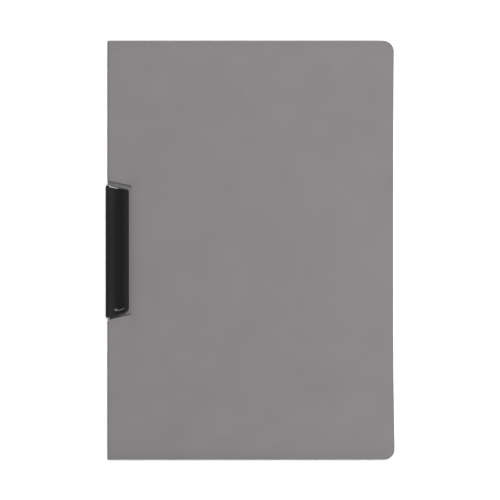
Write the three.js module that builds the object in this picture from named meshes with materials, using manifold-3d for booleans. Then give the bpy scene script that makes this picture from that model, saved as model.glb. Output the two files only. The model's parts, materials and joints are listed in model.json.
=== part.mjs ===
// Clip folder for loose A4 sheets: one folded plastic sheet, with a swing clip in a notch at its spine.
// Millimetres. X runs from the spine to the free edge, Y up the spine, Z from the back cover to the front.
// Everything is drawn with X = 0 on the spine's outer face. The finished group is then moved so that its
// origin is under the middle of the whole folder.
import * as THREE from 'three';
import { mergeVertices } from 'three/addons/utils/BufferGeometryUtils.js';
import Module from 'manifold-3d';

const wasm = await Module();
wasm.setup();

// The folded sheet
const COVER_HEIGHT = 310;
const COVER_WIDTH = 213;
const SHEET = 0.6;
const CORNER_RADIUS = 8;
const EDGE_ROUNDING = 0.4;
const FOLD_GAP = 0.3;

// The arm of the clip, seen from the front
const ARM_TOP = 48.3;
const ARM_BOTTOM = -50.6;
const ARM_OVERHANG = 1.3;
const ARM_REACH = 15.8;
const TIP_SLOPE = THREE.MathUtils.degToRad(12.5);
const TIP_CORNER = 0.7;
const HEEL_SLOPE = THREE.MathUtils.degToRad(16);
const HEEL_RADIUS = 4.5;
const PIVOT_CORNER = 1.5;

// The arm in section: a leg over the paper, a wall outside the spine, and a hook under the base's lip
const PAPER_STACK = 3;
const WALL = 1.2;
const LEG = 1.4;
const LEG_BEND_X = 8;
const SHOULDER_RADIUS = 2.4;
const INNER_RADIUS = 1.2;
const NOSE_GAP = 0.3;
const HOOK = 0.5;
const HOOK_REACH = 1.4;
const HOOK_GAP = 0.25;
const HOOK_SIDE_GAP = 0.4;

// The base of the clip, staked to the back cover
const BASE_PLATE = 0.6;
const BASE_INSET = 0.6;
const LIP_GAP = 0.3;
const STAKE_RADIUS = 1.5;
const STAKE_GAP = 0.3;
const STAKE_PITCH = 34;
const STAKE_COUNT = 3;

// The pivot, at the lower end of the arm beside the spine
const PIVOT_X = 1.5;
const PIVOT_RISE = 3.4;
const POST_RADIUS = 1.1;
const POST_GAP = 0.2;
const SOCKET_ROOF = 0.5;
const EYE_RADIUS = 2.2;
const EYE_GAP = 0.3;

// The notch in the sheet, with its gaps to the arm at the spine and beside the free edge
const NOTCH_SLOPE = THREE.MathUtils.degToRad(12);
const NOTCH_TIP_GAP = 3.75;
const NOTCH_HEEL_GAP = 1.35;
const NOTCH_SIDE_GAP = 2.2;
const NOTCH_FLARE = 1.2;
const NOTCH_CORNER = 1.5;

// The two plastics
const COVER_GREY = 0x858182;
const COVER_ROUGHNESS = 0.6;
const CLIP_BLACK = 0x242424;
const CLIP_ROUGHNESS = 0.45;

// How far a cutting shape runs past what it cuts
const PAST = 1;
// Straight pieces in a rounded corner, and round a whole circle
const CORNER_STEPS = 8;
const CIRCLE_STEPS = 32;

// Heights that follow from the sizes above
const hookBottom = SHEET + HOOK_GAP;
const hookTop = hookBottom + HOOK;
const lipBottom = hookTop + HOOK_GAP;
const baseTop = lipBottom + BASE_PLATE;
const legBottom = baseTop + PAPER_STACK;
const armTopZ = legBottom + LEG;
const spineDepth = legBottom + SHEET;
const socketTop = armTopZ - SOCKET_ROOF;

// Places that follow from them
const wallInside = WALL - ARM_OVERHANG;
const hookEnd = wallInside + HOOK_REACH;
const lipX = wallInside + LIP_GAP;
const footX = hookEnd + HOOK_SIDE_GAP;
const baseReach = ARM_REACH - BASE_INSET;
const pivotY = ARM_BOTTOM + PIVOT_RISE;
const hubRadius = PIVOT_X - lipX;
const tipY = (x) => ARM_TOP - (x + ARM_OVERHANG) * Math.tan(TIP_SLOPE);
const heelY = (x) => ARM_BOTTOM + (x + ARM_OVERHANG) * Math.tan(HEEL_SLOPE);
const notchTopY = (x) => tipY(0) + NOTCH_TIP_GAP - x * Math.tan(NOTCH_SLOPE);
const notchBottomY = (x) => heelY(0) - NOTCH_HEEL_GAP + x * Math.tan(NOTCH_SLOPE);
const notchFoot = notchBottomY(NOTCH_FLARE) - NOTCH_FLARE;

// A mesh geometry as a solid that can be joined and cut
function solid(geometry) {
  geometry.deleteAttribute('normal');
  geometry.deleteAttribute('uv');
  const merged = mergeVertices(geometry);
  return new wasm.Manifold(new wasm.Mesh({
    numProp: 3,
    vertProperties: merged.attributes.position.array,
    triVerts: new Uint32Array(merged.index.array),
  }));
}

// The same solid as a mesh geometry again
function geometryOf(body) {
  const mesh = body.getMesh();
  const geometry = new THREE.BufferGeometry();
  geometry.setAttribute('position', new THREE.BufferAttribute(mesh.vertProperties, 3));
  geometry.setIndex(new THREE.BufferAttribute(mesh.triVerts, 1));
  geometry.computeVertexNormals();
  return geometry;
}

// A shape seen from the front, given thickness from z0 to z1
function plate(shape, z0, z1) {
  const geometry = new THREE.ExtrudeGeometry(shape, {
    depth: z1 - z0,
    bevelEnabled: false,
    curveSegments: CORNER_STEPS,
  });
  return solid(geometry.translate(0, 0, z0));
}

// A section in X and Z, drawn out along the spine from y0 to y1
function strip(section, y0, y1) {
  const geometry = new THREE.ExtrudeGeometry(section, {
    depth: y1 - y0,
    bevelEnabled: false,
    curveSegments: CORNER_STEPS,
  });
  return solid(geometry.rotateX(Math.PI / 2).translate(0, y1, 0));
}

// A round post that stands at x and y
function post(x, y, radius, z0, z1) {
  const geometry = new THREE.CylinderGeometry(radius, radius, z1 - z0, CIRCLE_STEPS);
  return solid(geometry.rotateX(Math.PI / 2).translate(x, y, (z0 + z1) / 2));
}

// A closed shape through corners [x, y, radius], each rounded to its own radius where it has one
function outline(corners) {
  const shape = new THREE.Shape();
  const points = corners.map(([x, y]) => new THREE.Vector2(x, y));
  corners.forEach(([, , radius], i) => {
    const corner = points[i];
    const before = points.at(i - 1).clone().sub(corner).normalize();
    const after = points[(i + 1) % points.length].clone().sub(corner).normalize();
    const start = corner.clone();
    if (radius) {
      start.addScaledVector(before, radius / Math.tan(Math.acos(before.dot(after)) / 2));
    }
    if (i === 0) {
      shape.moveTo(start.x, start.y);
    } else {
      shape.lineTo(start.x, start.y);
    }
    if (radius) {
      const inwards = new THREE.Vector2(before.y, -before.x);
      const turnsLeft = inwards.dot(after) > 0;
      const centre = start.clone().addScaledVector(inwards, turnsLeft ? radius : -radius);
      const first = start.clone().sub(centre).angle();
      const turn = Math.PI - Math.acos(before.dot(after));
      const last = turnsLeft ? first + turn : first - turn;
      shape.absarc(centre.x, centre.y, radius, first, last, !turnsLeft);
    }
  });
  shape.closePath();
  return shape;
}

function rectangle(x0, y0, x1, y1) {
  return outline([[x0, y0], [x1, y0], [x1, y1], [x0, y1]]);
}

// One cover: square at the spine, round at its two free corners, its edge at the fold rounded on the
// outer side, which lies at z = 0
function cover() {
  const half = COVER_HEIGHT / 2;
  const section = outline([
    [0, 0, EDGE_ROUNDING],
    [COVER_WIDTH, 0],
    [COVER_WIDTH, SHEET],
    [0, SHEET],
  ]);
  const shape = outline([
    [0, -half],
    [COVER_WIDTH, -half, CORNER_RADIUS],
    [COVER_WIDTH, half, CORNER_RADIUS],
    [0, half],
  ]);
  return strip(section, -half, half).intersect(plate(shape, -PAST, SHEET + PAST));
}

// The stakes of the base stand in one row up its middle
function stakes(radius, z0, z1) {
  const x = (footX + baseReach) / 2;
  const middle = (ARM_TOP + ARM_BOTTOM) / 2;
  const row = [];
  for (let i = 0; i < STAKE_COUNT; i++) {
    row.push(post(x, middle + (i - (STAKE_COUNT - 1) / 2) * STAKE_PITCH, radius, z0, z1));
  }
  return wasm.Manifold.union(row);
}

function backCover() {
  return cover().subtract(stakes(STAKE_RADIUS + STAKE_GAP, -PAST, SHEET + PAST));
}

// The front cover is the back one turned over, with the notch. The notch slopes at both ends and flares
// where its lower end meets the spine.
function frontCover() {
  const notchEnd = ARM_REACH + NOTCH_SIDE_GAP;
  const notch = outline([
    [-PAST, notchFoot - PAST],
    [NOTCH_FLARE, notchBottomY(NOTCH_FLARE)],
    [notchEnd, notchBottomY(notchEnd), NOTCH_CORNER],
    [notchEnd, notchTopY(notchEnd), NOTCH_CORNER],
    [-PAST, notchTopY(-PAST)],
  ]);
  return cover()
    .rotate([180, 0, 0])
    .translate([0, 0, spineDepth])
    .subtract(plate(notch, 0, spineDepth + PAST));
}

// The narrow panel between the two folds, above or below the notch
function spinePanel(y0, y1) {
  const edge = SHEET + FOLD_GAP;
  return strip(rectangle(0, edge, SHEET, spineDepth - edge), y0, y1);
}

// The arm seen from the front, drawn in by inset on every side but its left one, which is at x
function clipOutline(x, inset) {
  const reach = ARM_REACH - inset;
  const top = (at) => tipY(at) - inset / Math.cos(TIP_SLOPE);
  const bottom = (at) => heelY(at) + inset / Math.cos(HEEL_SLOPE);
  return outline([
    [x, bottom(x), PIVOT_CORNER - inset],
    [reach, bottom(reach), HEEL_RADIUS - inset],
    [reach, top(reach), TIP_CORNER],
    [x, top(x), TIP_CORNER],
  ]);
}

// From the wall the leg bends down to a round nose, which presses the paper on the base
function armSection() {
  const noseRadius = LEG / 2;
  const noseX = ARM_REACH - noseRadius;
  const noseZ = baseTop + NOSE_GAP + noseRadius;
  const tilt = Math.atan2(legBottom + noseRadius - noseZ, noseX - LEG_BEND_X);
  const noseStart = new THREE.Vector2(-Math.sin(tilt), -Math.cos(tilt)).multiplyScalar(noseRadius);
  const shoulderX = SHOULDER_RADIUS - ARM_OVERHANG;
  const innerX = wallInside + INNER_RADIUS;
  const innerZ = legBottom - INNER_RADIUS;
  const section = new THREE.Shape();
  section.moveTo(-ARM_OVERHANG, hookBottom);
  section.lineTo(hookEnd, hookBottom);
  section.lineTo(hookEnd, hookTop);
  section.lineTo(wallInside, hookTop);
  section.lineTo(wallInside, innerZ);
  section.absarc(innerX, innerZ, INNER_RADIUS, Math.PI, Math.PI / 2, true);
  section.quadraticCurveTo(LEG_BEND_X, legBottom, noseX + noseStart.x, noseZ + noseStart.y);
  section.absarc(noseX, noseZ, noseRadius, noseStart.angle(), noseStart.angle() + Math.PI, false);
  section.quadraticCurveTo(LEG_BEND_X, armTopZ, shoulderX, armTopZ);
  section.absarc(shoulderX, armTopZ - SHOULDER_RADIUS, SHOULDER_RADIUS, Math.PI / 2, Math.PI, false);
  section.closePath();
  return section;
}

// Wall and hook stop short of the corner below the pivot, so that the arm can turn there. The eye is a
// ring at the level of the hook, and the post's blind socket is in the leg above it.
function clipArm() {
  const wallEnd = pivotY - POST_RADIUS;
  const hookStart = pivotY + EYE_RADIUS;
  const belowWall = rectangle(-ARM_OVERHANG - PAST, ARM_BOTTOM - PAST, ARM_REACH, wallEnd);
  const belowHook = rectangle(wallInside, ARM_BOTTOM - PAST, hookEnd + PAST, hookStart);
  return strip(armSection(), ARM_BOTTOM - PAST, ARM_TOP + PAST)
    .intersect(plate(clipOutline(-ARM_OVERHANG, 0), 0, armTopZ + PAST))
    .subtract(plate(belowWall, 0, legBottom - INNER_RADIUS))
    .subtract(plate(belowHook, 0, hookTop))
    .add(post(PIVOT_X, pivotY, EYE_RADIUS, hookBottom, hookTop))
    .subtract(post(PIVOT_X, pivotY, POST_RADIUS + POST_GAP, 0, socketTop));
}

// A plate with a lip over the arm's hook, on a foot that sits on the back cover. The pivot's post rises
// from a round hub at its lower corner, which leaves the wall of the arm room to turn.
function clipBase() {
  const turnRoom = rectangle(
    lipX - PAST,
    ARM_BOTTOM - PAST,
    PIVOT_X + POST_RADIUS + LIP_GAP,
    pivotY,
  );
  const foot = plate(clipOutline(footX, BASE_INSET), SHEET, lipBottom)
    .subtract(post(PIVOT_X, pivotY, EYE_RADIUS + EYE_GAP, 0, lipBottom));
  return plate(clipOutline(lipX, BASE_INSET), lipBottom, baseTop)
    .subtract(plate(turnRoom, 0, baseTop + PAST))
    .add(post(PIVOT_X, pivotY, hubRadius, lipBottom, baseTop))
    .add(post(PIVOT_X, pivotY, POST_RADIUS, SHEET, socketTop - POST_GAP))
    .add(foot)
    .add(stakes(STAKE_RADIUS, 0, SHEET));
}

function coverPlastic() {
  return new THREE.MeshStandardMaterial({ color: COVER_GREY, roughness: COVER_ROUGHNESS });
}

function clipPlastic() {
  return new THREE.MeshStandardMaterial({ color: CLIP_BLACK, roughness: CLIP_ROUGHNESS });
}

const folder = new THREE.Group();

function addPart(name, body, material) {
  const mesh = new THREE.Mesh(geometryOf(body), material);
  mesh.name = name;
  folder.add(mesh);
}

addPart('back_cover', backCover(), coverPlastic());
addPart('front_cover', frontCover(), coverPlastic());
addPart('spine_upper', spinePanel(notchTopY(0), COVER_HEIGHT / 2), coverPlastic());
addPart('spine_lower', spinePanel(-COVER_HEIGHT / 2, notchFoot), coverPlastic());
addPart('clip_base', clipBase(), clipPlastic());
addPart('clip_arm', clipArm(), clipPlastic());

folder.position.x = (ARM_OVERHANG - COVER_WIDTH) / 2;

export default folder;
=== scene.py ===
"""Builds the looks of an A4 clip folder: its folded sheet, its swing clip and the picture's stage."""

import json
import math

import bmesh
import bpy
from bpy.props import FloatProperty, FloatVectorProperty, IntProperty, PointerProperty
from mathutils import Matrix, Vector
from mathutils.bvhtree import BVHTree
from mathutils.geometry import convex_hull_2d, delaunay_2d_cdt


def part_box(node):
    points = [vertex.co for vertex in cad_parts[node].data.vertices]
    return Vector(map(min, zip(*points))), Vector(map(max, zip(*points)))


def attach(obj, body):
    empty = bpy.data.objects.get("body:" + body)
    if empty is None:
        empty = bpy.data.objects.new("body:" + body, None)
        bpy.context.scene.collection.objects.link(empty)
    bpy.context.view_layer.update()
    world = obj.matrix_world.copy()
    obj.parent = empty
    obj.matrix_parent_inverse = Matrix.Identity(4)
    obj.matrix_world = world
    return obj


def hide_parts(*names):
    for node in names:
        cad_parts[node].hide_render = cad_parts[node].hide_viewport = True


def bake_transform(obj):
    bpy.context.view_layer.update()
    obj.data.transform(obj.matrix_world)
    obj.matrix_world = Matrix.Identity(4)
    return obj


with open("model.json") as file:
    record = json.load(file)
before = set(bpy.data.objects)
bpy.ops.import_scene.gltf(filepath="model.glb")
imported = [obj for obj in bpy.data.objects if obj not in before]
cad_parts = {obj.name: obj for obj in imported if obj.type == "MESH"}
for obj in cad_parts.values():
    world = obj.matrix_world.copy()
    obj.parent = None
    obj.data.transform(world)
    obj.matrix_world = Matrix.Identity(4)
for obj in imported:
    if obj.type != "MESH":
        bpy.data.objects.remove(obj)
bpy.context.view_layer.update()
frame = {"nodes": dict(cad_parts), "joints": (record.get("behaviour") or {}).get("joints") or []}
nodes = frame["nodes"]

bl_info = {
    "name": "Clip folder",
    "version": (1, 0, 0),
    "blender": (4, 5, 0),
    "location": "3D View > Sidebar > Clip folder",
    "description": "Builds an A4 folder with a swing clip",
    "category": "Object",
}

MM = 0.001
# Keeps faces of two joined solids from lying in one plane
CLEAR = 0.01 * MM
# How far two joined solids reach into each other, and how far a cutter stands out past a piece
OVERLAP = 0.1 * MM
PAST = 1 * MM

# The bend of a crease takes up this many of its radii on each side
CREASE_REACH = 1.25
# The notch's turns get a column only this far past the crease's curve
CREASE_ROOM = 0.1 * MM
# Rows of faces on each side of the notch and in it, and columns across the cover
ROWS_BESIDE = 8
ROWS_IN_NOTCH = 6
COLUMNS = 24
# Columns lie at least this many bevel widths apart
BEVEL_ROOM = 1.5
# Share of the half height that stays straight before the free edge bows out
STRAIGHT_SHARE = 0.3

# Axes of a cut, and how close together an outline's points may lie
X, Y, Z = range(3)
CLOSEST = 0.1 * MM
# A point where an outline turns less than this lies on a straight side and is left out
STRAIGHT_TURN = math.radians(0.5)
# A point that turns more than this is on a coarse arc or a corner
ARC_TURN = math.radians(14)
# A point that turns more than this is a corner
CORNER_TURN = math.radians(40)
# Share of each side that is cut off at a point on an arc
ARC_CUT = 0.25
# The most of a side that a rounded corner takes, and the straight pieces in that corner
CORNER_CUT = 0.45
CORNER_STEPS = 4

# The longest sides of the outlines that the base and the arm are drawn out from
BASE_STEP = 2 * MM
ARM_STEP = 0.6 * MM
# The blunt edge at the end of the arm's chamfer
TIP_EDGE = 0.06 * MM
# The arm's hook ends this share of the eye's radius above the pivot
HOOK_END_SHARE = 0.85

# Faces that meet at no more than this are shaded as one
SHEET_SMOOTH = math.radians(40)
CLIP_SMOOTH = math.radians(14)

# The swing arrow: the middle of its arc measured from the arm's lower left corner, and its shape
ARROW_RIGHT = 9.6 * MM
ARROW_UP = 11.9 * MM
ARROW_RADIUS = 6.2 * MM
ARROW_WIDTH = 0.5 * MM
ARROW_START = math.radians(-50)
ARROW_STOP = math.radians(-101)
ARROW_STEPS = 18
ARROW_HEAD = math.radians(-18)
ARROW_HEAD_SHARE = 2.3
ARROW_SINK = 0.05 * MM

# Sizes and places on the stage, in metres
FLOOR_SIZE = 60
FLOOR_DROP = 0.0002
TIP_LAMP_SIZE = (0.33, 0.07)
SOFTBOX_SIZE = (0.5, 0.5)
EDGE_LAMP_PLACE = Vector((0.75, -0.2, 0.35))
RIGHT_LAMP_PLACE = Vector((0.5, 0, 0.55))
LEFT_LAMP_PLACE = Vector((-0.5, 0, 0.45))
# The camera's place, measured from the middle of the cover's left edge, and its lens in millimetres
CAMERA_RIGHT = 105.8 * MM
CAMERA_UP = 0.2 * MM
CAMERA_LENS = 100
CAMERA_SENSOR = 36


class SheetSettings(bpy.types.PropertyGroup):
    """Shape and colour of the folded sheet"""

    crease_radius: FloatProperty(
        name="Crease radius",
        description="Outer radius of the two creases",
        default=1.5 * MM,
        subtype="DISTANCE",
        unit="LENGTH",
    )
    crease_steps: IntProperty(
        name="Crease steps",
        description="Straight pieces in the curve of a crease",
        default=12,
        min=4,
    )
    corner_radius: FloatProperty(
        name="Corner radius",
        description="Radius of the four free corners",
        default=8 * MM,
        subtype="DISTANCE",
        unit="LENGTH",
    )
    corner_steps: IntProperty(
        name="Corner steps",
        description="Straight pieces in a rounded corner",
        default=14,
        min=4,
    )
    edge_bevel: FloatProperty(
        name="Edge bevel",
        description="Width of the small bevel along the cut edges",
        default=0.12 * MM,
        subtype="DISTANCE",
        unit="LENGTH",
    )
    tip_gap: FloatProperty(
        name="Tip gap",
        description="Room between the arm's upper end and the back half of the sheet",
        default=0.4 * MM,
        subtype="DISTANCE",
        unit="LENGTH",
    )
    stake_gap: FloatProperty(
        name="Stake gap",
        description="Room round the stakes of the clip's base in the back cover",
        default=0.15 * MM,
        subtype="DISTANCE",
        unit="LENGTH",
    )
    edge_inset: FloatProperty(
        name="Free edge inset",
        description="How far the free edge lies inside the CAD model's, as measured in the photograph",
        default=1.2 * MM,
        min=0.0,
        subtype="DISTANCE",
        unit="LENGTH",
    )
    bow_top: FloatProperty(
        name="Bow at the top",
        description="How far the upper free corner stands out past the middle of the free edge",
        default=0.6 * MM,
        subtype="DISTANCE",
        unit="LENGTH",
    )
    bow_bottom: FloatProperty(
        name="Bow at the bottom",
        description="How far the lower free corner stands out past the middle of the free edge",
        default=1.3 * MM,
        subtype="DISTANCE",
        unit="LENGTH",
    )
    colour: FloatVectorProperty(
        name="Sheet colour",
        description="Colour of the grey plastic sheet",
        default=(0.262, 0.2455, 0.249),
        subtype="COLOR",
        size=3,
        min=0.0,
        max=1.0,
    )


class ClipSettings(bpy.types.PropertyGroup):
    """Edges, mark and colour of the swing clip"""

    edge_radius: FloatProperty(
        name="Edge radius",
        description="Radius of the rounded edges",
        default=0.15 * MM,
        subtype="DISTANCE",
        unit="LENGTH",
    )
    corner_radius: FloatProperty(
        name="Corner radius",
        description="Radius of the corners in the outlines that are sharp in the CAD model",
        default=0.22 * MM,
        subtype="DISTANCE",
        unit="LENGTH",
    )
    wall: FloatProperty(
        name="Wall",
        description="Thickness of the arm's wall beside the spine",
        default=1.2 * MM,
        subtype="DISTANCE",
        unit="LENGTH",
    )
    wall_bottom: FloatProperty(
        name="Wall bottom",
        description="Height down to which the wall is cut away below the pivot",
        default=4 * MM,
        subtype="DISTANCE",
        unit="LENGTH",
    )
    hook_top: FloatProperty(
        name="Hook top",
        description="Height of the upper face of the arm's hook and eye",
        default=1.35 * MM,
        subtype="DISTANCE",
        unit="LENGTH",
    )
    eye_radius: FloatProperty(
        name="Eye radius",
        description="Radius of the arm's eye round the post",
        default=2.2 * MM,
        subtype="DISTANCE",
        unit="LENGTH",
    )
    post_radius: FloatProperty(
        name="Post radius",
        description="Radius of the pivot's post",
        default=1.1 * MM,
        subtype="DISTANCE",
        unit="LENGTH",
    )
    post_gap: FloatProperty(
        name="Post gap",
        description="Room round the post in the arm's socket",
        default=0.2 * MM,
        subtype="DISTANCE",
        unit="LENGTH",
    )
    socket_roof: FloatProperty(
        name="Socket roof",
        description="Thickness of the arm over its socket",
        default=0.5 * MM,
        subtype="DISTANCE",
        unit="LENGTH",
    )
    foot_bottom: FloatProperty(
        name="Foot bottom",
        description="Height of the underside of the base's foot",
        default=0.6 * MM,
        subtype="DISTANCE",
        unit="LENGTH",
    )
    foot_level: FloatProperty(
        name="Foot level",
        description="Height at which the foot's outline is read",
        default=1.1 * MM,
        subtype="DISTANCE",
        unit="LENGTH",
    )
    plate_bottom: FloatProperty(
        name="Plate bottom",
        description="Height of the underside of the base's plate",
        default=1.6 * MM,
        subtype="DISTANCE",
        unit="LENGTH",
    )
    plate_level: FloatProperty(
        name="Plate level",
        description="Height at which the plate's outline is read",
        default=1.9 * MM,
        subtype="DISTANCE",
        unit="LENGTH",
    )
    plate_top: FloatProperty(
        name="Plate top",
        description="Height of the upper face of the base's plate",
        default=2.2 * MM,
        subtype="DISTANCE",
        unit="LENGTH",
    )
    post_level: FloatProperty(
        name="Post level",
        description="Height at which the post's outline is read",
        default=4 * MM,
        subtype="DISTANCE",
        unit="LENGTH",
    )
    tip_width: FloatProperty(
        name="Tip chamfer width",
        description="How far the chamfer at the arm's upper end reaches down its face",
        default=0.9 * MM,
        subtype="DISTANCE",
        unit="LENGTH",
    )
    tip_drop: FloatProperty(
        name="Tip chamfer drop",
        description="How far the face drops at the arm's upper end",
        default=0.26 * MM,
        subtype="DISTANCE",
        unit="LENGTH",
    )
    mark_height: FloatProperty(
        name="Mark height",
        description="How far the swing arrow stands up from the arm",
        default=0.12 * MM,
        subtype="DISTANCE",
        unit="LENGTH",
    )
    colour: FloatVectorProperty(
        name="Clip colour",
        description="Colour of the black moulded plastic",
        default=(0.0155, 0.0155, 0.0157),
        subtype="COLOR",
        size=3,
        min=0.0,
        max=1.0,
    )
    mark_colour: FloatVectorProperty(
        name="Mark colour",
        description="Colour of the swing arrow",
        default=(0.17, 0.17, 0.172),
        subtype="COLOR",
        size=3,
        min=0.0,
        max=1.0,
    )


class StageSettings(bpy.types.PropertyGroup):
    """Floor, lamps and camera"""

    floor_colour: FloatVectorProperty(
        name="Floor colour",
        description="Colour that the floor lights the folder with",
        default=(0.8, 0.8, 0.8),
        subtype="COLOR",
        size=3,
        min=0.0,
        max=1.0,
    )
    backdrop: FloatProperty(
        name="Backdrop level",
        description="How bright the floor is for the camera",
        default=1.5,
        min=0.0,
    )
    upper_tilt: FloatProperty(
        name="Upper tilt",
        description="Tilt of the even lamp on the side of the folder's upper end",
        default=math.radians(15),
        subtype="ANGLE",
    )
    upper_strength: FloatProperty(
        name="Upper strength",
        description="Strength of the even lamp on the side of the folder's upper end",
        default=0.95,
        min=0.0,
    )
    lower_tilt: FloatProperty(
        name="Lower tilt",
        description="Tilt of the even lamp on the side of the folder's lower end",
        default=math.radians(15),
        subtype="ANGLE",
    )
    lower_strength: FloatProperty(
        name="Lower strength",
        description="Strength of the even lamp on the side of the folder's lower end",
        default=0.87,
        min=0.0,
    )
    sun_spread: FloatProperty(
        name="Sun spread",
        description="How wide the two even lamps look from the folder",
        default=math.radians(10),
        subtype="ANGLE",
    )
    tip_tilt: FloatProperty(
        name="Tip lamp tilt",
        description="Tilt of the weak softbox that shines back from the chamfer at the arm's upper end",
        default=math.radians(39),
        subtype="ANGLE",
    )
    tip_turn: FloatProperty(
        name="Tip lamp turn",
        description="How far the weak softbox is turned from the folder's upper end to its free edge",
        default=math.radians(17),
        subtype="ANGLE",
    )
    tip_roll: FloatProperty(
        name="Tip lamp roll",
        description="How far the weak softbox is rolled, to lie along the chamfer's reflections",
        default=math.radians(19),
        subtype="ANGLE",
    )
    tip_power: FloatProperty(
        name="Tip lamp power",
        description="Power of the weak softbox for the chamfer at the arm's upper end, in watts",
        default=1.35,
        min=0.0,
    )
    side_power: FloatProperty(
        name="Side power",
        description="Power of each of the two weak softboxes that light the arm's curved sides, in watts",
        default=0.22,
        min=0.0,
    )
    lamp_power: FloatProperty(
        name="Softbox power",
        description="Power of the softbox beside the free edge, in watts",
        default=2.4,
        min=0.0,
    )
    world_level: FloatProperty(
        name="World level",
        description="Strength of the light from all round at the horizon; it fades to none overhead",
        default=0.06,
        min=0.0,
    )
    distance: FloatProperty(
        name="Camera distance",
        description="Height of the camera over the floor",
        default=1.0336,
        subtype="DISTANCE",
        unit="LENGTH",
    )


def settings():
    """The three groups of settings on the scene."""
    scene = bpy.context.scene
    return scene.folder_sheet, scene.folder_clip, scene.folder_stage


def new_material(name, colour, roughness):
    """A material with one Principled shader, and its node tree and that shader."""
    material = bpy.data.materials.new(name)
    material.use_nodes = True
    tree = material.node_tree
    shader = tree.nodes["Principled BSDF"]
    shader.inputs["Base Color"].default_value = (*colour, 1)
    shader.inputs["Roughness"].default_value = roughness
    return material, tree, shader


def add_noise(tree, scale, detail):
    """A noise texture in the piece's own coordinates, in metres."""
    place = tree.nodes.new("ShaderNodeTexCoord")
    noise = tree.nodes.new("ShaderNodeTexNoise")
    noise.inputs["Scale"].default_value = scale
    noise.inputs["Detail"].default_value = detail
    tree.links.new(place.outputs["Object"], noise.inputs["Vector"])
    return noise.outputs["Fac"]


def add_range(tree, noise, low, high):
    """The middle range of a noise, spread from low to high."""
    spread = tree.nodes.new("ShaderNodeMapRange")
    spread.inputs["From Min"].default_value = 0.3
    spread.inputs["From Max"].default_value = 0.7
    spread.inputs["To Min"].default_value = low
    spread.inputs["To Max"].default_value = high
    tree.links.new(noise, spread.inputs["Value"])
    return spread.outputs["Result"]


def add_grain(tree, shader, scale, strength, depth):
    """Fine relief on the shader."""
    noise = add_noise(tree, scale, detail=2)
    bump = tree.nodes.new("ShaderNodeBump")
    bump.inputs["Strength"].default_value = strength
    bump.inputs["Distance"].default_value = depth
    tree.links.new(noise, bump.inputs["Height"])
    tree.links.new(bump.outputs["Normal"], shader.inputs["Normal"])


def sheet_material(colour):
    """Matte polypropylene with a fine grain and soft, barely seen clouds."""
    material, tree, shader = new_material("cover_plastic", colour, roughness=0.55)
    shader.inputs["Specular IOR Level"].default_value = 0.35
    clouds = add_range(tree, add_noise(tree, scale=16, detail=3), low=0.985, high=1.015)
    tint = tree.nodes.new("ShaderNodeVectorMath")
    tint.operation = "SCALE"
    tint.inputs[0].default_value = colour
    tree.links.new(clouds, tint.inputs["Scale"])
    tree.links.new(tint.outputs["Vector"], shader.inputs["Base Color"])
    roughness = add_range(tree, add_noise(tree, scale=60, detail=2), low=0.5, high=0.6)
    tree.links.new(roughness, shader.inputs["Roughness"])
    add_grain(tree, shader, scale=2200, strength=0.35, depth=0.03 * MM)
    return material


def clip_material(colour):
    """Black moulded plastic with a satin face."""
    material, tree, shader = new_material("clip_plastic", colour, roughness=0.15)
    add_grain(tree, shader, scale=3000, strength=0.25, depth=0.02 * MM)
    return material


def add_object(name, work):
    """The work mesh as an object, with its faces turned outwards."""
    bmesh.ops.recalc_face_normals(work, faces=work.faces)
    mesh = bpy.data.meshes.new(name)
    work.to_mesh(mesh)
    work.free()
    piece = bpy.data.objects.new(name, mesh)
    bpy.context.scene.collection.objects.link(piece)
    return piece


def finish(piece, material):
    """Give a finished piece its material and slot."""
    if not piece.data.polygons:
        raise RuntimeError(f"{piece.name} has no faces")
    piece.data.materials.clear()
    piece.data.materials.append(material)


def shade_smooth(piece, angle):
    """Smooth shading, but sharp where faces meet at more than this angle."""
    piece.data.shade_smooth()
    piece.data.set_sharp_from_angle(angle=angle)


def height_at(points, x, pick):
    """Height of one side of an outline at x, straight between its points."""
    best = {}
    for px, py in points:
        best[px] = pick(best.get(px, py), py)
    line = sorted(best.items())
    if x <= line[0][0]:
        return line[0][1]
    for (x0, y0), (x1, y1) in zip(line, line[1:]):
        if x <= x1:
            return y0 + (y1 - y0) * (x - x0) / (x1 - x0)
    return line[-1][1]


class Notch:
    """Outline of the notch, read from the frame's front cover."""

    def __init__(self):
        low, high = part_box("front_cover")
        # Only the notch's corners lie this near to the spine and to the middle of its length
        near_spine = low.x + 0.1 * (high.x - low.x)
        near_middle = 0.25 * (high.y - low.y)
        corners = nodes["front_cover"].data.vertices
        edge = {(round(v.co.x, 6), round(v.co.y, 6)) for v in corners}
        edge = [p for p in edge if p[0] < near_spine and abs(p[1]) < near_middle]
        self.right = max(p[0] for p in edge)
        self.upper = sorted(p for p in edge if p[1] > 0)
        self.lower = sorted(p for p in edge if p[1] < 0)

    def top(self, x):
        """Height of the notch's upper edge at x."""
        return height_at(self.upper, x, min)

    def bottom(self, x):
        """Height of the notch's lower edge at x."""
        return height_at(self.lower, x, max)

    def stations(self):
        """The places across the cover where the notch's outline turns."""
        return sorted({p[0] for p in self.upper + self.lower})


def crease_columns(radius, depth, steps):
    """Places on the outer face with their outward directions, from the spine round the crease."""
    columns = [(Vector((0, 0, depth / 2)), Vector((-1, 0, 0)))]
    for i in range(steps + 1):
        turn = math.pi / 2 * i / steps
        out = Vector((-math.cos(turn), 0, -math.sin(turn)))
        columns.append((Vector((radius, 0, radius)) + radius * out, out))
    return columns


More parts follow.
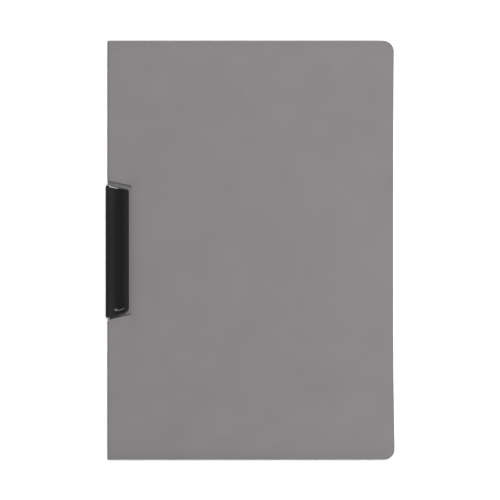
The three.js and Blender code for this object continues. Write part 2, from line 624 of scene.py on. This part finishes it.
class SheetHalf:
    """Columns and rows of one cover with its half of the spine, measured from the spine's outside."""

    def __init__(self, is_front):
        self.sheet, _, _ = settings()
        self.is_front = is_front
        self.low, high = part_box("front_cover" if is_front else "back_cover")
        self.thickness = high.z - self.low.z
        self.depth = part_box("front_cover")[1].z
        self.end = high.x - self.low.x - self.sheet.edge_inset
        self.half = (high.y - self.low.y) / 2
        self.notch = Notch()
        crease_end = CREASE_REACH * self.sheet.crease_radius
        if is_front:
            self.cut_end = self.notch.right - self.low.x
        else:
            self.cut_end = crease_end
            self.notch.upper = [(self.low.x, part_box("clip_arm")[1].y + self.sheet.tip_gap)]
        down = Vector((0, 0, -1))
        self.columns = crease_columns(self.sheet.crease_radius, self.depth, self.sheet.crease_steps)
        self.columns += [(Vector((x, 0, 0)), down) for x in self.flat_columns(crease_end)]
        self.count = len(self.rows(0))

    def flat_columns(self, crease_end):
        """Places across the flat cover, none of them too close together for the bevel."""
        radius, steps = self.sheet.corner_radius, self.sheet.corner_steps
        places = [x - self.low.x for x in self.notch.stations()]
        places = [x for x in places if x > self.sheet.crease_radius + CREASE_ROOM]
        # The notch and the rounded corners bring their own columns near the two edges
        places += [crease_end] + [self.end * i / COLUMNS for i in range(3, COLUMNS - 1)]
        turns = [math.pi / 2 * i / steps for i in range(steps + 1)]
        places += [self.end - radius * (1 - math.sin(turn)) for turn in turns]
        kept = [self.end, self.cut_end]
        for x in places:
            if min(abs(x - other) for other in kept) > BEVEL_ROOM * self.sheet.edge_bevel:
                kept.append(x)
        return sorted(kept)

    def rows(self, x):
        """Heights on the sheet at x: its ends, the notch's ends and the places between."""
        corner = self.sheet.corner_radius
        past = max(0.0, x - (self.end - corner))
        reach = self.half - (corner - math.sqrt(max(0.0, corner**2 - past**2)))
        bottom, top = self.notch.bottom(self.low.x + x), self.notch.top(self.low.x + x)
        below = [-reach + (bottom + reach) * i / ROWS_BESIDE for i in range(ROWS_BESIDE + 1)]
        above = [top + (reach - top) * i / ROWS_BESIDE for i in range(ROWS_BESIDE + 1)]
        between = [bottom + (top - bottom) * i / ROWS_IN_NOTCH for i in range(1, ROWS_IN_NOTCH)]
        return below + between + above

    def bow(self, x, y):
        """How far the free edge stands out towards its ends."""
        share = max(0.0, (abs(y) / self.half - STRAIGHT_SHARE) / (1 - STRAIGHT_SHARE))
        most = self.sheet.bow_top if y > 0 else self.sheet.bow_bottom
        return most * share**2 * (x / self.end) ** 2

    def is_open(self, i, j):
        """Whether no sheet lies between columns i and i + 1 and rows j and j + 1."""
        if i < 0 or i >= len(self.columns) - 1 or j < 0 or j >= self.count - 1:
            return True
        middle = (self.columns[i][0].x + self.columns[i + 1][0].x) / 2
        return ROWS_BESIDE <= j < self.count - 1 - ROWS_BESIDE and middle < self.cut_end

    def add_grid(self, work, inwards):
        """Add the points of the sheet's outer face, moved inwards, column by column."""
        grid = []
        for place, out in self.columns:
            column = []
            for y in self.rows(place.x):
                p = place - out * inwards
                p = Vector((p.x + self.bow(place.x, y), y, p.z))
                if self.is_front:
                    p.z = self.depth - p.z
                p.x += self.low.x
                column.append(work.verts.new(p))
            grid.append(column)
        return grid


def build_sheet_half(name, is_front, material):
    """One cover with its half of the spine, as one sheet that curves round the crease."""
    half = SheetHalf(is_front)
    work = bmesh.new()
    outer = half.add_grid(work, 0)
    inner = half.add_grid(work, half.thickness)
    rim = []
    for i in range(len(half.columns) - 1):
        for j in range(half.count - 1):
            if half.is_open(i, j):
                continue
            for grid in (outer, inner):
                work.faces.new((grid[i][j], grid[i + 1][j], grid[i + 1][j + 1], grid[i][j + 1]))
            sides = (
                ((i, j), (i + 1, j), half.is_open(i, j - 1)),
                ((i, j + 1), (i + 1, j + 1), half.is_open(i, j + 1)),
                ((i, j), (i, j + 1), half.is_open(i - 1, j)),
                ((i + 1, j), (i + 1, j + 1), half.is_open(i + 1, j)),
            )
            for (a, b), (c, d), is_edge in sides:
                if is_edge:
                    work.faces.new((outer[a][b], outer[c][d], inner[c][d], inner[a][b]))
                    # The two halves meet at their first columns, without a bevel
                    if a or c:
                        rim.append((outer[a][b], outer[c][d]))
                        rim.append((inner[a][b], inner[c][d]))
    bmesh.ops.recalc_face_normals(work, faces=work.faces)
    bmesh.ops.bevel(
        work,
        geom=[work.edges.get(pair) for pair in rim],
        offset=half.sheet.edge_bevel,
        segments=2,
        profile=0.5,
        affect="EDGES",
        material=-1,
    )
    piece = add_object(name, work)
    finish(piece, material)
    if not is_front:
        cut_stake_holes(piece, half.sheet.stake_gap)
    shade_smooth(piece, SHEET_SMOOTH)
    return piece


def cut_stake_holes(piece, gap):
    """Cut the back cover open round the stakes of the clip's base."""
    low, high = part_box("back_cover")
    for stake in section_loops("clip_base", Z, (low.z + high.z) / 2):
        xs = [p.x for p in stake]
        middle = sum(stake, Vector((0, 0))) / len(stake)
        hole = circle(middle.x, middle.y, (max(xs) - min(xs)) / 2 + gap)
        combine(piece, upright(hole, low.z - PAST, high.z + PAST), "DIFFERENCE")


class FOLDER_OT_sheet(bpy.types.Operator):
    """Build the folded sheet in two pieces that meet half way up the spine"""

    bl_idname = "folder.sheet"
    bl_label = "Folded sheet"

    def execute(self, context):
        sheet, _, _ = settings()
        material = sheet_material(sheet.colour)
        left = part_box("front_cover")[0].x
        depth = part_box("front_cover")[1].z
        reach = CREASE_REACH * sheet.crease_radius
        back = build_sheet_half("back_sheet", False, material)
        front = build_sheet_half("front_sheet", True, material)
        start = Vector((left + reach, 0, 0))
        end = Vector((left, 0, reach))
        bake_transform(back)
        start.z = depth
        end.z = depth - reach
        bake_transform(front)
        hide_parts("back_cover", "spine_lower")
        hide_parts("front_cover", "spine_upper")
        return {"FINISHED"}


def turn_at(loop, i):
    """How far a closed outline turns at a point: to the left is positive."""
    before = loop[i] - loop[i - 1]
    after = loop[(i + 1) % len(loop)] - loop[i]
    return math.atan2(before.x * after.y - before.y * after.x, before.dot(after))


def length_round(loop):
    """The length of a closed outline."""
    return sum((p - loop[i - 1]).length for i, p in enumerate(loop))


def traced(verts, u, v):
    """The closed loops that the edges between the vertices make, in two of their coordinates."""
    left = set(verts)
    loops = []
    while left:
        vert = min(left, key=lambda one: one.co[:])
        loop = []
        while vert is not None:
            left.discard(vert)
            loop.append(Vector((vert.co[u], vert.co[v])))
            following = (e.other_vert(vert) for e in vert.link_edges)
            vert = next((one for one in following if one in left), None)
        loops.append(loop)
    return loops


def cleaned(loop):
    """An outline that turns left, without points that lie close together or on a straight side."""
    spaced = loop[:1]
    for p in loop[1:]:
        if min((p - spaced[-1]).length, (p - spaced[0]).length) > CLOSEST:
            spaced.append(p)
    if sum(spaced[i - 1].cross(p) for i, p in enumerate(spaced)) < 0:
        spaced.reverse()
    return [p for i, p in enumerate(spaced) if abs(turn_at(spaced, i)) > STRAIGHT_TURN]


def section_loops(node, axis, level):
    """The closed outlines where a plane across an axis cuts a CAD node, the longest first."""
    work = bmesh.new()
    work.from_mesh(nodes[node].data)
    bmesh.ops.remove_doubles(work, verts=work.verts, dist=0.002 * MM)
    normal = Vector((axis == X, axis == Y, axis == Z))
    bmesh.ops.bisect_plane(
        work,
        geom=work.verts[:] + work.edges[:] + work.faces[:],
        plane_co=normal * level,
        plane_no=normal,
        clear_inner=True,
        clear_outer=True,
    )
    u, v = (i for i in (X, Y, Z) if i != axis)
    loops = [cleaned(loop) for loop in traced(work.verts, u, v)]
    work.free()
    if not loops:
        raise RuntimeError(f"no section of {node} at {level}")
    return sorted(loops, key=length_round, reverse=True)


def refined(loop, radius, step):
    """An outline with finer arcs, rounded outer corners and no side longer than the step."""
    finer = []
    for i, p in enumerate(loop):
        turn = turn_at(loop, i)
        before = loop[i - 1] - p
        after = loop[(i + 1) % len(loop)] - p
        if ARC_TURN < abs(turn) < CORNER_TURN:
            finer += [p + ARC_CUT * before, p + ARC_CUT * after]
        elif turn >= CORNER_TURN:
            room = CORNER_CUT * min(before.length, after.length)
            reach = min(radius * math.tan(turn / 2), room)
            start = p + reach * before.normalized()
            along = -before.normalized()
            centre = start + reach / math.tan(turn / 2) * Vector((-along.y, along.x))
            for k in range(CORNER_STEPS + 1):
                spoke = start - centre
                spoke.rotate(Matrix.Rotation(turn * k / CORNER_STEPS, 2))
                finer.append(centre + spoke)
        else:
            finer.append(p)
    points = []
    for i, p in enumerate(finer):
        following = finer[(i + 1) % len(finer)]
        pieces = max(1, math.ceil((following - p).length / step))
        points += [p.lerp(following, k / pieces) for k in range(pieces)]
    return points


def inset(loop, depths):
    """An outline drawn in, each point by its own depth."""
    points = []
    for i, p in enumerate(loop):
        before = (p - loop[i - 1]).normalized()
        after = (loop[(i + 1) % len(loop)] - p).normalized()
        sides = Vector((-before.y - after.y, before.x + after.x))
        points.append(p + sides * depths[i] / (1 + before.dot(after)))
    return points


def rounding(radius, steps=3):
    """A rounded edge as pairs of distance from the end and inset, up to the end."""
    turns = [math.pi / 2 * i / steps for i in range(steps + 1)]
    return [(radius * (1 - math.sin(turn)), radius * (1 - math.cos(turn))) for turn in turns]


def prism(loop, low, high, place, low_edge, high_edge, most=None):
    """An outline drawn out between two ends, which may slope or curve, with shaped edges at both."""
    work = bmesh.new()
    limits = [most(p) if most else math.inf for p in loop]
    levels = [(low, 1, pair) for pair in reversed(low_edge)]
    levels += [(high, -1, pair) for pair in high_edge]
    outlines = []
    rings = []
    for end, side, (distance, depth) in levels:
        outline = inset(loop, [min(depth, limit) for limit in limits])
        outlines.append(outline)
        rings.append([work.verts.new(place(p.x, p.y, end(p.x) + side * distance)) for p in outline])
    count = len(loop)
    for one, other in zip(rings, rings[1:]):
        for i in range(count):
            k = (i + 1) % count
            work.faces.new((one[i], one[k], other[k], other[i]))
    for outline, ring in ((outlines[0], rings[0]), (outlines[-1], rings[-1])):
        _, _, faces, sources, _, _ = delaunay_2d_cdt(outline, [], [range(count)], 1, 1e-9)
        for face in faces:
            work.faces.new([ring[sources[i][0]] for i in face])
    return add_object("solid", work)


def upright(loop, low, high, low_radius=0, high_radius=0):
    """An outline seen from the front, as a slab with square or rounded rims."""
    return prism(
        loop,
        lambda x: low,
        lambda x: high,
        lambda x, y, z: Vector((x, y, z)),
        rounding(low_radius) if low_radius else [(0, 0)],
        rounding(high_radius) if high_radius else [(0, 0)],
    )


def circle(x, y, radius, steps=48):
    """A round outline."""
    turns = [2 * math.pi * i / steps for i in range(steps)]
    return [Vector((x + radius * math.cos(a), y + radius * math.sin(a))) for a in turns]


def rectangle(x0, y0, x1, y1):
    """A rectangular outline from its lower left to its upper right corner."""
    return [Vector(p) for p in ((x0, y0), (x1, y0), (x1, y1), (x0, y1))]


def combine(piece, other, operation):
    """Join the other solid to the piece or cut it away, and remove it."""
    modifier = piece.modifiers.new("combine", "BOOLEAN")
    modifier.operation = operation
    modifier.solver = "MANIFOLD"
    modifier.object = other
    shape = piece.evaluated_get(bpy.context.evaluated_depsgraph_get())
    meshes = (piece.data, other.data)
    piece.data = bpy.data.meshes.new_from_object(shape)
    piece.modifiers.clear()
    bpy.data.objects.remove(other)
    for mesh in meshes:
        bpy.data.meshes.remove(mesh)
    work = bmesh.new()
    work.from_mesh(piece.data)
    bmesh.ops.dissolve_degenerate(work, edges=work.edges, dist=0.001 * MM)
    work.to_mesh(piece.data)
    work.free()
    if not piece.data.polygons:
        raise RuntimeError(f"nothing is left of {piece.name}")


def finish_clip_piece(piece, name, material, node):
    """Name a piece of the clip, give it its material and let it replace its CAD node."""
    piece.name = name
    piece.data.name = name
    finish(piece, material)
    shade_smooth(piece, CLIP_SMOOTH)
    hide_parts(node)


def build_base(material):
    """The base's foot, plate, post and stakes, with rounded rims on plate, post and stakes."""
    _, clip, _ = settings()
    low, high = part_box("clip_base")
    edge, corner = clip.edge_radius, clip.corner_radius
    foot, *_ = section_loops("clip_base", Z, clip.foot_level)
    plate, *_ = section_loops("clip_base", Z, clip.plate_level)
    (post,) = section_loops("clip_base", Z, clip.post_level)
    stakes = section_loops("clip_base", Z, clip.foot_bottom / 2)
    foot = refined(foot, corner, BASE_STEP)
    plate = refined(plate, corner, BASE_STEP)
    piece = upright(foot, clip.foot_bottom, clip.plate_bottom + OVERLAP)
    combine(piece, upright(plate, clip.plate_bottom, clip.plate_top, 0, edge), "UNION")
    combine(piece, upright(post, clip.foot_bottom, high.z, 0, edge), "UNION")
    for stake in stakes:
        combine(piece, upright(stake, low.z, clip.foot_bottom + OVERLAP, edge / 2), "UNION")
    finish_clip_piece(piece, "base", material, "clip_base")
    return piece


def drawn_arm(clip, low, high):
    """The arm's section drawn out along the spine between its sloping ends."""
    corners = [v.co.xy for v in nodes["clip_arm"].data.vertices]
    hull = [corners[i] for i in convex_hull_2d(corners)]
    middle = (low.y + high.y) / 2
    upper = [p.to_tuple() for p in hull if p.y > middle]
    lower = [p.to_tuple() for p in hull if p.y < middle]
    tip = [(clip.tip_width, 0), (TIP_EDGE, clip.tip_drop), (0, clip.tip_drop + TIP_EDGE)]
    section, *_ = section_loops("clip_arm", Y, middle)
    return prism(
        refined(section, clip.corner_radius, ARM_STEP),
        lambda x: height_at(lower, x, min),
        lambda x: height_at(upper, x, max),
        lambda x, z, y: Vector((x, y, z)),
        rounding(clip.edge_radius),
        tip,
        lambda p: math.inf if p.y > clip.plate_bottom else clip.edge_radius,
    )


def build_arm(material):
    """The arm, cut free below the pivot, with the eye round the post and the socket for its end."""
    _, clip, _ = settings()
    low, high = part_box("clip_arm")
    pivot = next(Vector(j["pos_m"]) for j in frame["joints"] if j["name"] == "clip_swing")
    edge = clip.edge_radius
    piece = drawn_arm(clip, low, high)
    below_wall = rectangle(low.x - PAST, low.y - PAST, high.x, pivot.y - clip.post_radius)
    combine(piece, upright(below_wall, low.z - PAST, clip.wall_bottom), "DIFFERENCE")
    wall_inside = low.x + clip.wall - CLEAR
    hook_end = pivot.y + HOOK_END_SHARE * clip.eye_radius
    below_hook = rectangle(wall_inside, low.y - PAST, pivot.x + PAST, hook_end)
    combine(piece, upright(below_hook, low.z - PAST, clip.hook_top + edge), "DIFFERENCE")
    eye = circle(pivot.x, pivot.y, clip.eye_radius)
    slab = upright(eye, low.z + CLEAR, clip.hook_top - CLEAR, edge / 2, edge / 2)
    combine(piece, slab, "UNION")
    socket = circle(pivot.x, pivot.y, clip.post_radius + clip.post_gap)
    combine(piece, upright(socket, low.z - PAST, high.z - clip.socket_roof), "DIFFERENCE")
    finish_clip_piece(piece, "arm", material, "clip_arm")
    return piece


class FOLDER_OT_clip(bpy.types.Operator):
    """Build the clip's base and its swing arm, with rounded edges"""

    bl_idname = "folder.clip"
    bl_label = "Swing clip"

    def execute(self, context):
        _, clip, _ = settings()
        material = clip_material(clip.colour)
        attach(build_base(material), "back")
        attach(build_arm(material), "arm")
        return {"FINISHED"}


def arrow_outline():
    """The swing arrow seen from the front: an arc with a head at its end."""
    low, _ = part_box("clip_arm")
    centre = Vector((low.x + ARROW_RIGHT, low.y + ARROW_UP))
    sweep = ARROW_STOP - ARROW_START
    turns = [ARROW_START + sweep * i / ARROW_STEPS for i in range(ARROW_STEPS + 1)]
    outer = [(turn, ARROW_WIDTH / 2) for turn in turns]
    inner = [(turn, -ARROW_WIDTH / 2) for turn in reversed(turns)]
    half = ARROW_WIDTH * ARROW_HEAD_SHARE
    head = [(ARROW_STOP, half), (ARROW_STOP + ARROW_HEAD, 0), (ARROW_STOP, -half)]
    points = []
    for turn, out in outer + head + inner:
        radius = ARROW_RADIUS + out
        points.append((centre.x + radius * math.cos(turn), centre.y + radius * math.sin(turn)))
    return points


def height_on(faces, x, y, above):
    """Height of the first face under a point, looking down from above it."""
    place = faces.ray_cast(Vector((x, y, above)), Vector((0, 0, -1)))[0]
    if place is None:
        raise RuntimeError("the swing arrow misses the arm")
    return place.z


def build_arrow(material, rise):
    """The swing arrow, standing up a little from the arm's face."""
    arm = nodes["clip_arm"].data
    faces = BVHTree.FromPolygons([v.co for v in arm.vertices], [p.vertices for p in arm.polygons])
    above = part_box("clip_arm")[1].z + PAST
    places = [(x, y, height_on(faces, x, y, above)) for x, y in arrow_outline()]
    work = bmesh.new()
    top = [work.verts.new((x, y, z + rise)) for x, y, z in places]
    foot = [work.verts.new((x, y, z - ARROW_SINK)) for x, y, z in places]
    caps = [work.faces.new(top), work.faces.new(foot)]
    for i in range(len(places)):
        k = (i + 1) % len(places)
        work.faces.new((top[i], top[k], foot[k], foot[i]))
    bmesh.ops.triangulate(work, faces=caps)
    piece = add_object("swing_arrow", work)
    finish(piece, material)
    return piece


class FOLDER_OT_mark(bpy.types.Operator):
    """Put the small curved arrow on the arm, which shows which way it swings"""

    bl_idname = "folder.mark"
    bl_label = "Swing arrow"

    def execute(self, context):
        _, clip, _ = settings()
        material, _, _ = new_material("swing_mark", clip.mark_colour, roughness=0.5)
        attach(build_arrow(material, clip.mark_height), "arm")
        return {"FINISHED"}


def add_floor(colour, backdrop):
    """A plain pale floor, which the camera sees as a brighter backdrop."""
    bpy.ops.mesh.primitive_plane_add(size=FLOOR_SIZE, location=(0, 0, -FLOOR_DROP))
    floor = bpy.context.object
    floor.name = "floor"
    material, tree, shader = new_material("floor", colour, roughness=1)
    shader.inputs["Specular IOR Level"].default_value = 0
    rays = tree.nodes.new("ShaderNodeLightPath")
    mix = tree.nodes.new("ShaderNodeMix")
    mix.data_type = "RGBA"
    mix.inputs["A"].default_value = (*colour, 1)
    mix.inputs["B"].default_value = (backdrop, backdrop, backdrop, 1)
    tree.links.new(rays.outputs["Is Camera Ray"], mix.inputs["Factor"])
    tree.links.new(mix.outputs["Result"], shader.inputs["Base Color"])
    floor.data.materials.append(material)


def add_world(level):
    """Weak light from the horizon that fades to none overhead, and white for the camera."""
    world = bpy.data.worlds.new("world")
    world.use_nodes = True
    sky = world.node_tree
    background = sky.nodes["Background"]
    background.inputs["Color"].default_value = (1, 1, 1, 1)
    rays = sky.nodes.new("ShaderNodeLightPath")
    place = sky.nodes.new("ShaderNodeTexCoord")
    height = sky.nodes.new("ShaderNodeSeparateXYZ")
    fade = sky.nodes.new("ShaderNodeMapRange")
    fade.inputs["To Min"].default_value = level
    fade.inputs["To Max"].default_value = 0
    seen = sky.nodes.new("ShaderNodeMapRange")
    seen.inputs["To Max"].default_value = 1
    sky.links.new(place.outputs["Generated"], height.inputs["Vector"])
    sky.links.new(height.outputs["Z"], fade.inputs["Value"])
    sky.links.new(fade.outputs["Result"], seen.inputs["To Min"])
    sky.links.new(rays.outputs["Is Camera Ray"], seen.inputs["Value"])
    sky.links.new(seen.outputs["Result"], background.inputs["Strength"])
    bpy.context.scene.world = world


def slanted(tilt, turn):
    """A direction tilted from straight up to the folder's upper end and turned to its free edge."""
    out = math.sin(tilt)
    return Vector((out * math.sin(turn), out * math.cos(turn), math.cos(tilt)))


def add_lamp(data, place, away, roll=0.0):
    """A lamp at a place, shining from that direction."""
    lamp = bpy.data.objects.new(data.name, data)
    lamp.location = place
    lamp.rotation_euler = (-away).to_track_quat("-Z", "Y").to_euler()
    lamp.rotation_euler.rotate_axis("Z", roll)
    bpy.context.scene.collection.objects.link(lamp)


def add_sun(name, tilt, strength, spread):
    """An even lamp, tilted from straight above towards the folder's upper end."""
    data = bpy.data.lights.new(name, "SUN")
    data.energy = strength
    data.angle = spread
    add_lamp(data, (0, 0, 1), slanted(tilt, 0))


def add_softbox(name, place, target, size, power, roll=0.0):
    """A soft lamp near the folder, turned to a point on it."""
    data = bpy.data.lights.new(name, "AREA")
    data.shape = "RECTANGLE"
    data.size, data.size_y = size
    data.energy = power
    add_lamp(data, place, place - target, roll)


def add_lamps(stage):
    """The two even lamps, the softboxes beside the folder and the one for the arm's chamfer."""
    add_sun("sun_upper", stage.upper_tilt, stage.upper_strength, stage.sun_spread)
    add_sun("sun_lower", -stage.lower_tilt, stage.lower_strength, stage.sun_spread)
    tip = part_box("clip_arm")[1]
    place = tip + slanted(stage.tip_tilt, stage.tip_turn)
    add_softbox("tip_lamp", place, tip, TIP_LAMP_SIZE, stage.tip_power, stage.tip_roll)
    middle = Vector((0, 0, 0))
    softboxes = (
        ("softbox", EDGE_LAMP_PLACE, stage.lamp_power),
        ("side_right", RIGHT_LAMP_PLACE, stage.side_power),
        ("side_left", LEFT_LAMP_PLACE, stage.side_power),
    )
    for name, place, power in softboxes:
        add_softbox(name, place, middle, SOFTBOX_SIZE, power)


def add_camera(distance):
    """The camera, straight over the folder."""
    data = bpy.data.cameras.new("camera")
    data.lens = CAMERA_LENS
    data.sensor_width = CAMERA_SENSOR
    camera = bpy.data.objects.new("camera", data)
    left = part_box("front_cover")[0].x
    camera.location = (left + CAMERA_RIGHT, CAMERA_UP, distance)
    bpy.context.scene.collection.objects.link(camera)
    bpy.context.scene.camera = camera


class FOLDER_OT_stage(bpy.types.Operator):
    """Set the floor, the lamps and the camera straight over the folder"""

    bl_idname = "folder.stage"
    bl_label = "Stage"

    def execute(self, context):
        _, _, stage = settings()
        add_floor(stage.floor_colour, stage.backdrop)
        add_world(stage.world_level)
        add_lamps(stage)
        add_camera(stage.distance)
        context.scene.view_settings.view_transform = "Standard"
        return {"FINISHED"}


class FOLDER_PT_panel(bpy.types.Panel):
    """The folder's settings and operators in the sidebar"""

    bl_idname = "FOLDER_PT_panel"
    bl_label = "Clip folder"
    bl_space_type = "VIEW_3D"
    bl_region_type = "UI"
    bl_category = "Clip folder"

    def draw(self, context):
        """Lay out each group of settings over its operators."""
        groups = (
            (context.scene.folder_sheet, ("folder.sheet",)),
            (context.scene.folder_clip, ("folder.clip", "folder.mark")),
            (context.scene.folder_stage, ("folder.stage",)),
        )
        for group, operators in groups:
            box = self.layout.box()
            for name in group.__annotations__:
                box.prop(group, name)
            for operator in operators:
                box.operator(operator)


CLASSES = (
    SheetSettings,
    ClipSettings,
    StageSettings,
    FOLDER_OT_sheet,
    FOLDER_OT_clip,
    FOLDER_OT_mark,
    FOLDER_OT_stage,
    FOLDER_PT_panel,
)


def register():
    """Add the settings, operators and panel to Blender."""
    for cls in CLASSES:
        bpy.utils.register_class(cls)
    bpy.types.Scene.folder_sheet = PointerProperty(type=SheetSettings)
    bpy.types.Scene.folder_clip = PointerProperty(type=ClipSettings)
    bpy.types.Scene.folder_stage = PointerProperty(type=StageSettings)


def unregister():
    """Take the settings, operators and panel out of Blender."""
    del bpy.types.Scene.folder_stage
    del bpy.types.Scene.folder_clip
    del bpy.types.Scene.folder_sheet
    for cls in reversed(CLASSES):
        bpy.utils.unregister_class(cls)


def main():
    """Build the folder and its stage."""
    register()
    bpy.ops.folder.sheet()
    bpy.ops.folder.clip()
    bpy.ops.folder.mark()
    bpy.ops.folder.stage()


if __name__ == "__main__":
    main()
